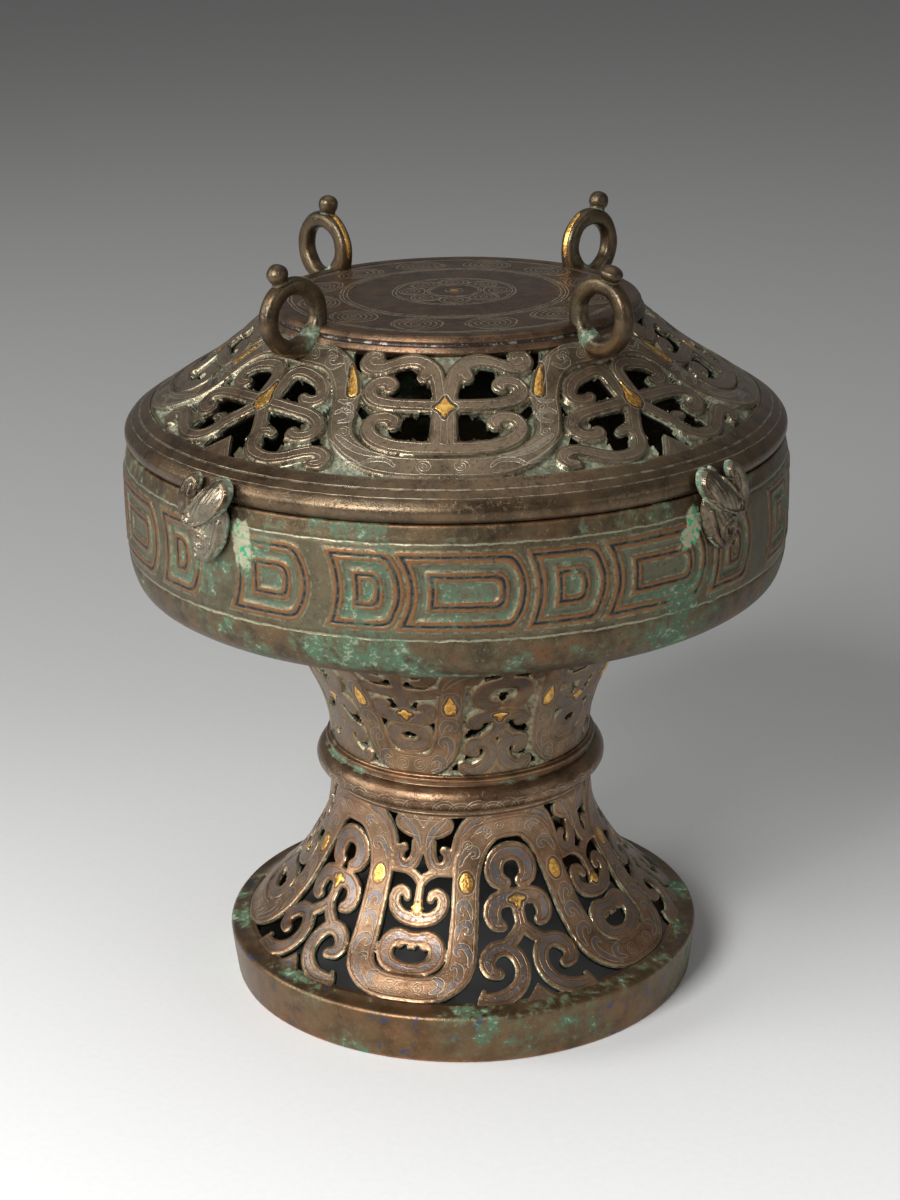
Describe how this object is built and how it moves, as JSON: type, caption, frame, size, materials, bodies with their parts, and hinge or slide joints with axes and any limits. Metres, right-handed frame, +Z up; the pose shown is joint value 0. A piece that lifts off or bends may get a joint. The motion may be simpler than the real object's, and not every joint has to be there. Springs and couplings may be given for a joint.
{
  "type": "lidded openwork stand dish",
  "caption": "Shallow lidded bronze dish on an openwork flaring stand, with ring handles and animal mask clasps round the lid.",
  "frame": {"origin": "centre of the foot ring's underside", "axes": "+Z up along the vessel's axis, -Y towards the front panel"},
  "size_m": [0.266, 0.266, 0.3165],
  "materials": {
    "bronze": "old cast bronze with brown and green patina",
    "gold": "sheet gold inlay, softly polished"
  },
  "bodies": {
    "base": {"foot_ring": "bronze", "foot_openwork": "bronze", "stem_collar": "bronze", "stem_openwork": "bronze", "basin": "bronze"},
    "lid": {"lid_rim": "bronze", "lid_openwork": "bronze", "lid_disc": "bronze", "ring_handle_1": "bronze", "ring_handle_2": "bronze", "ring_handle_3": "bronze", "ring_handle_4": "bronze", "mask_clasp_1": "bronze", "mask_clasp_2": "bronze", "mask_clasp_3": "bronze", "mask_clasp_4": "bronze", "gold_star_1": "gold", "gold_star_2": "gold", "gold_star_3": "gold", "gold_star_4": "gold", "gold_kite_1": "gold", "gold_kite_2": "gold", "gold_kite_3": "gold", "gold_kite_4": "gold", "gold_strip_1": "gold", "gold_strip_2": "gold", "gold_strip_3": "gold", "gold_strip_4": "gold", "gold_strip_5": "gold", "gold_strip_6": "gold", "gold_strip_7": "gold", "gold_strip_8": "gold"}
  },
  "joints": [
    {"name": "lid_lift", "type": "slide", "parent": "base", "child": "lid", "axis": [0, 0, 1], "range_m": [0, 0.12]}
  ]
}
